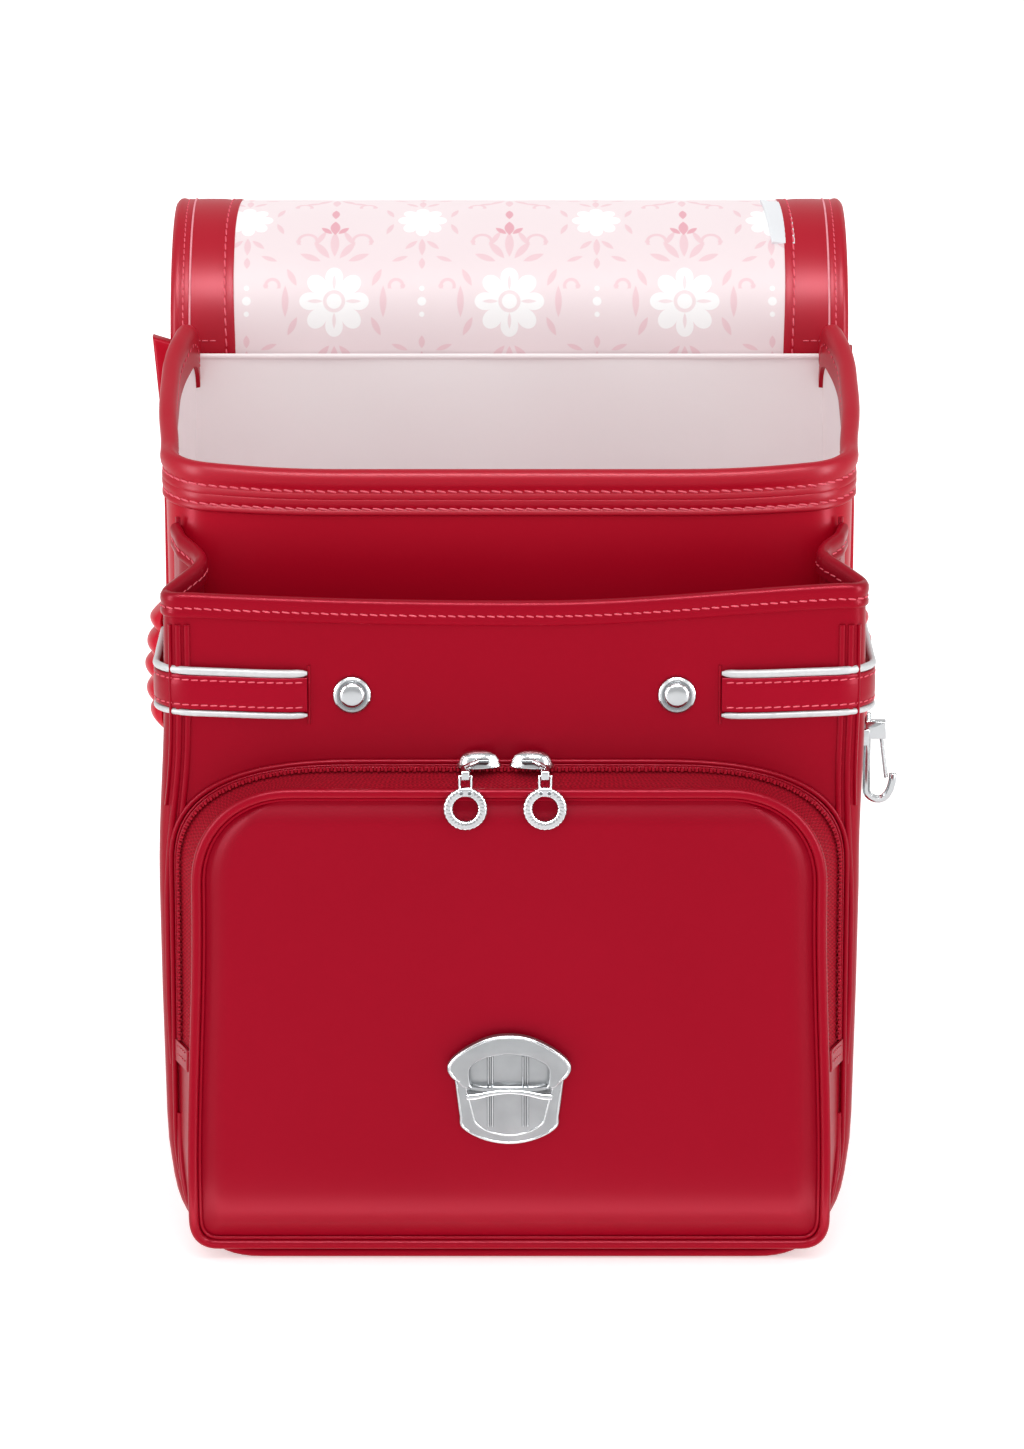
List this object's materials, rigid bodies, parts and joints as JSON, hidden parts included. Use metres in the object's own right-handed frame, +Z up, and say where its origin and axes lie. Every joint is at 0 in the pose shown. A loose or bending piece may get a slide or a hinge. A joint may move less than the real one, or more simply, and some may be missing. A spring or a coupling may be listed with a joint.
{
  "type": "school ransel",
  "caption": "Stiff red school ransel with its flap thrown open over the back, a main compartment, a second pocket, a zip pocket with a turn lock, padded shoulder straps and a side hook.",
  "frame": {"origin": "middle of the flat bottom of the main compartment, on the surface that it stands on", "axes": "+Z up, -Y to the front with the lock, +Y to the wearer, +X to the right as seen from the front"},
  "size_m": [0.2837, 0.3074, 0.3593],
  "materials": {
    "leather": "smooth, glossy artificial leather",
    "lining": "smooth coated cloth, pale pink, with a traditional damask on the flap",
    "tape": "woven zipper tape and moulded teeth",
    "trim": "reflective light grey piping",
    "label": "blank woven label",
    "chrome": "bright plated"
  },
  "bodies": {
    "bag": {"back_panel": "leather", "belt_trim_lower_left": "trim", "belt_trim_lower_right": "trim", "belt_trim_upper_left": "trim", "belt_trim_upper_right": "trim", "flap_border_left": "leather", "flap_border_right": "leather", "flap_catch_plate": "chrome", "flap_end_hem": "leather", "flap_label": "label", "flap_lining": "lining", "flap_shell": "leather", "flap_strip_left": "leather", "flap_strip_right": "leather", "flap_tongue": "leather", "hook_plate": "chrome", "lining_back": "lining", "lining_front": "lining", "lining_gusset": "lining", "lock_plate": "chrome", "lock_visor": "chrome", "lower_ring_left": "chrome", "lower_ring_right": "chrome", "lower_strap_left": "leather", "lower_strap_right": "leather", "main_front_wall": "leather", "main_gusset": "leather", "mouth_band": "leather", "second_front_wall": "leather", "second_gusset": "leather", "second_hem": "leather", "shoulder_strap_left": "leather", "shoulder_strap_right": "leather", "side_belt_left": "leather", "side_belt_right": "leather", "side_hook": "chrome", "side_keeper_left": "leather", "side_keeper_right": "leather", "snap_cap_left": "chrome", "snap_cap_right": "chrome", "strap_anchor": "leather", "zip_end_tab_left": "leather", "zip_end_tab_right": "leather", "zip_front_panel": "leather", "zip_gusset": "leather", "zip_outer_cord": "leather", "zip_piping": "leather", "zipper_chain": "tape", "zipper_pull_left": "chrome", "zipper_pull_right": "chrome", "zipper_slider_left": "chrome", "zipper_slider_right": "chrome", "zipper_tape": "tape"},
    "gate": {"hook_gate": "chrome"}
  },
  "joints": [
    {"name": "hook_gate_hinge", "type": "hinge", "parent": "bag", "child": "gate", "pos_m": [0.1398, -0.032, 0.1733], "axis": [0, 1, 0], "range_deg": [0, 16], "stiffness_Nm_per_rad": 0.004, "springref_deg": -8.59}
  ]
}
